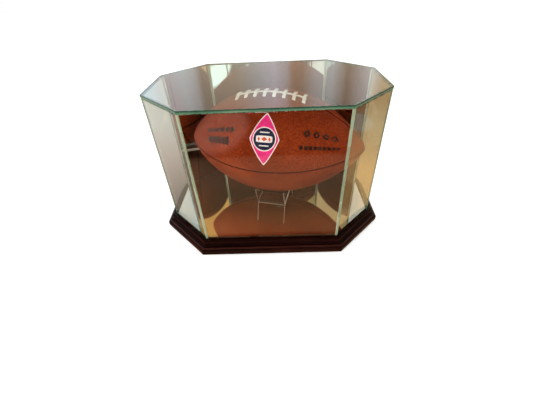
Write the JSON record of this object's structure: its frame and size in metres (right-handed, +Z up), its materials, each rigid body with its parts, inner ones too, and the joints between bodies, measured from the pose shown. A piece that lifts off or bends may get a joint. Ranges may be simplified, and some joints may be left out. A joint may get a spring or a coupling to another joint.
{
  "type": "football display case",
  "caption": "Eight-sided glass and mirror display cover on a moulded wooden base with a mirror floor, over a football in a clear bent cradle.",
  "frame": {"origin": "on the shelf under the middle of the base", "axes": "+X along the case to the viewer's right, +Y from the clear front to the mirrored back, +Z up"},
  "size_m": [0.357, 0.244, 0.2239],
  "materials": {
    "lacquered_wood": "dark cherry, glossy lacquer",
    "steel": "bright",
    "fibreboard": "raw fibreboard",
    "tape": "foam tape",
    "mirror": "silvered glass",
    "felt": "felt",
    "pane_glass": "clear float glass",
    "top_glass": "clear float glass with green edges",
    "sealant": "clear sealant",
    "acrylic": "clear polished acrylic",
    "ball_leather": "pebbled leather",
    "lace": "smooth off-white lace",
    "rubber": "moulded rubber"
  },
  "bodies": {
    "base": {"moulding_front": "lacquered_wood", "moulding_front_right": "lacquered_wood", "moulding_right": "lacquered_wood", "moulding_back_right": "lacquered_wood", "moulding_back": "lacquered_wood", "moulding_back_left": "lacquered_wood", "moulding_left": "lacquered_wood", "moulding_front_left": "lacquered_wood", "mitre_nails": "steel", "base_panel": "fibreboard", "panel_screws": "steel", "mirror_tape": "tape", "floor_mirror": "mirror", "felt_pads": "felt"},
    "cover": {"glass_front": "pane_glass", "glass_front_right": "pane_glass", "glass_right": "pane_glass", "glass_left": "pane_glass", "glass_front_left": "pane_glass", "mirror_back_right": "mirror", "mirror_back": "mirror", "mirror_back_left": "mirror", "glass_top": "top_glass", "corner_beads": "sealant", "top_bead": "sealant"},
    "stand": {"ball_stand": "acrylic"},
    "ball": {"ball_panel_top_front": "ball_leather", "ball_panel_bottom_front": "ball_leather", "ball_panel_bottom_back": "ball_leather", "ball_panel_top_back": "ball_leather", "ball_laces": "lace", "ball_bladder": "rubber", "ball_valve": "rubber"}
  },
  "joints": [
    {"name": "cover_lift", "type": "slide", "parent": "base", "child": "cover", "axis": [0, 0, 1], "range_m": [0, 0.205]},
    {"name": "stand_turn", "type": "hinge", "parent": "base", "child": "stand", "pos_m": [0.008, 0.01, 0.023], "axis": [0, 0, 1], "range_deg": [-13, 30]},
    {"name": "ball_roll", "type": "hinge", "parent": "stand", "child": "ball", "pos_m": [0.008, 0.01, 0.12541], "axis": [0.9724, -0.2334, 0], "range_deg": [-90, 90]}
  ]
}
